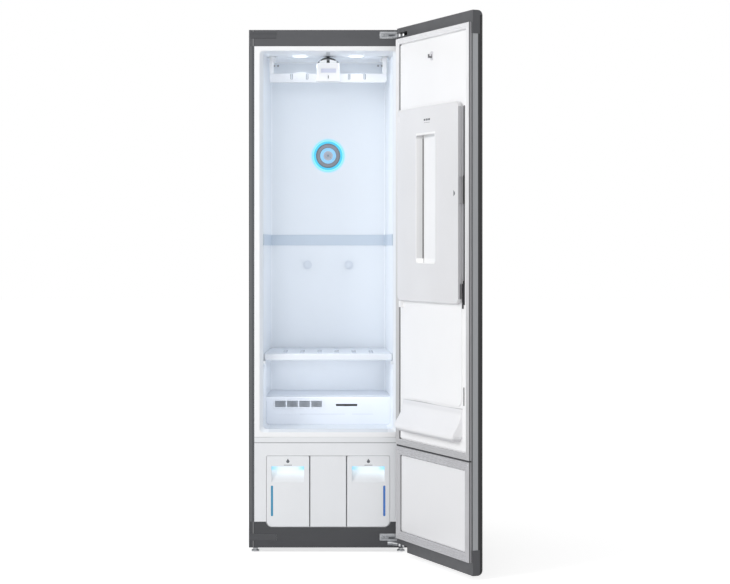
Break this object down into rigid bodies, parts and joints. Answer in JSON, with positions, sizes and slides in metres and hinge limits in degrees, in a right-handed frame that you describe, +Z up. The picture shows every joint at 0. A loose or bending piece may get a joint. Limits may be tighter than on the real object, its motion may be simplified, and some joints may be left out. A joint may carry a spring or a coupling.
{
  "type": "clothes care steam cabinet",
  "caption": "Tall steam cabinet for clothes with a glass-fronted door hinged right, hanger bar, shelf, trouser press on the door, and two pull-out water tanks below.",
  "frame": {"origin": "on the floor, midway between the casing sides and midway from the casing front to its back", "axes": "+X to the right as seen from the front, +Y from front to back, +Z up"},
  "size_m": [0.8282, 1.1272, 1.96],
  "materials": {
    "casing_steel": "satin",
    "dark_plastic": "matte",
    "liner_white": "satin",
    "panel_white": "satin",
    "band_grey": "satin",
    "lens": "gloss",
    "ring_light": "gloss",
    "bezel_grey": "satin",
    "tank_window": "gloss",
    "galvanised": "satin",
    "chrome": "polished",
    "rubber": "matte",
    "gasket": "matte",
    "door_glass": "gloss",
    "black_edging": "satin",
    "profile_satin": "satin",
    "foam": "matte",
    "press_grey": "satin",
    "compressor_black": "satin",
    "coil_aluminium": "satin",
    "duct_plastic": "matte",
    "boiler": "satin",
    "board_green": "satin"
  },
  "bodies": {
    "cabinet": {"side_panels": "casing_steel", "top_panel": "casing_steel", "back_panel": "galvanised", "base_frame": "galvanised", "power_inlet": "rubber", "top_fascia": "dark_plastic", "kick_plate": "dark_plastic", "cavity_liner": "liner_white", "liner_band": "band_grey", "shelf_runners": "liner_white", "machine_cover": "liner_white", "lamp_lenses": "lens", "nozzle_light_ring": "ring_light", "nozzle_bezel": "bezel_grey", "nozzle_insert": "bezel_grey", "wall_hooks": "liner_white", "drive_rails": "galvanised", "lower_front_frame": "panel_white", "tank_bay": "duct_plastic", "centre_cover": "panel_white", "hinge_brackets": "chrome", "screws": "chrome", "hinge_covers": "dark_plastic", "compressor": "compressor_black", "heat_exchangers": "coil_aluminium", "blower_housing": "duct_plastic", "steam_generator": "boiler", "water_pumps": "duct_plastic", "control_board": "board_green"},
    "door": {"door_glass": "door_glass", "door_backing": "black_edging", "door_end_caps": "dark_plastic", "door_hinge_bushes": "chrome", "door_side_profiles": "profile_satin", "door_gaskets": "gasket", "door_liners": "panel_white", "door_foam": "foam", "press_backing": "panel_white", "drip_scoop": "panel_white", "door_hook": "panel_white"},
    "press": {"press_panel": "press_grey", "press_grip": "panel_white"},
    "latch": {"press_latch": "black_edging"},
    "rack_shelf": {"shelf": "liner_white"},
    "supply_drawer": {"supply_tank": "panel_white", "supply_window": "tank_window", "supply_lid": "duct_plastic"},
    "drain_drawer": {"drain_tank": "panel_white", "drain_window": "tank_window", "drain_lid": "duct_plastic"},
    "filter": {"lint_filter": "liner_white"},
    "aroma": {"aroma_case": "black_edging"},
    "hanger": {"hanger_carriage": "panel_white", "hanger_bar": "panel_white", "drive_cover": "panel_white", "drive_dome": "chrome"},
    "rotor": {"drive_rotor": "galvanised"},
    "blower": {"blower_wheel": "duct_plastic"},
    "left_foot": {"foot_left": "rubber"},
    "right_foot": {"foot_right": "rubber"}
  },
  "joints": [
    {"name": "door_hinge", "type": "hinge", "parent": "cabinet", "child": "door", "pos_m": [0.2854, -0.31, 0.5], "axis": [0, 0, 1], "range_deg": [-113.6, 11.4]},
    {"name": "press_hinge", "type": "hinge", "parent": "door", "child": "press", "pos_m": [0.26887, -0.37332, 1.2], "axis": [0, 0, -1], "range_deg": [0, 75]},
    {"name": "latch_push", "type": "slide", "parent": "press", "child": "latch", "axis": [-0.4003, 0.9164, 0], "range_m": [0, 0.0025], "stiffness_N_per_m": 400},
    {"name": "shelf_slide", "type": "slide", "parent": "cabinet", "child": "rack_shelf", "axis": [0, -1, 0], "range_m": [0, 0.3]},
    {"name": "supply_tank_slide", "type": "slide", "parent": "cabinet", "child": "supply_drawer", "axis": [0, -1, 0], "range_m": [0, 0.215]},
    {"name": "drain_tank_slide", "type": "slide", "parent": "cabinet", "child": "drain_drawer", "axis": [0, -1, 0], "range_m": [0, 0.215]},
    {"name": "filter_slide", "type": "slide", "parent": "cabinet", "child": "filter", "axis": [0, -1, 0], "range_m": [0, 0.06]},
    {"name": "aroma_slide", "type": "slide", "parent": "cabinet", "child": "aroma", "axis": [0, -1, 0], "range_m": [0, 0.11]},
    {"name": "hanger_shake", "type": "slide", "parent": "cabinet", "child": "hanger", "axis": [1, 0, 0], "range_m": [-0.01, 0.01], "stiffness_N_per_m": 3000},
    {"name": "rotor_spin", "type": "hinge", "parent": "hanger", "child": "rotor", "pos_m": [0, -0.073, 1.91], "axis": [0, 0, 1], "continuous": true},
    {"name": "blower_spin", "type": "hinge", "parent": "cabinet", "child": "blower", "pos_m": [-0.1857, 0.167, 0.1313], "axis": [0, 1, 0], "continuous": true},
    {"name": "left_foot_turn", "type": "hinge", "parent": "cabinet", "child": "left_foot", "pos_m": [-0.274, -0.248, 0.02], "axis": [0, 0, 1], "range_deg": [-180, 180]},
    {"name": "right_foot_turn", "type": "hinge", "parent": "cabinet", "child": "right_foot", "pos_m": [0.274, -0.248, 0.02], "axis": [0, 0, 1], "range_deg": [-180, 180]}
  ]
}
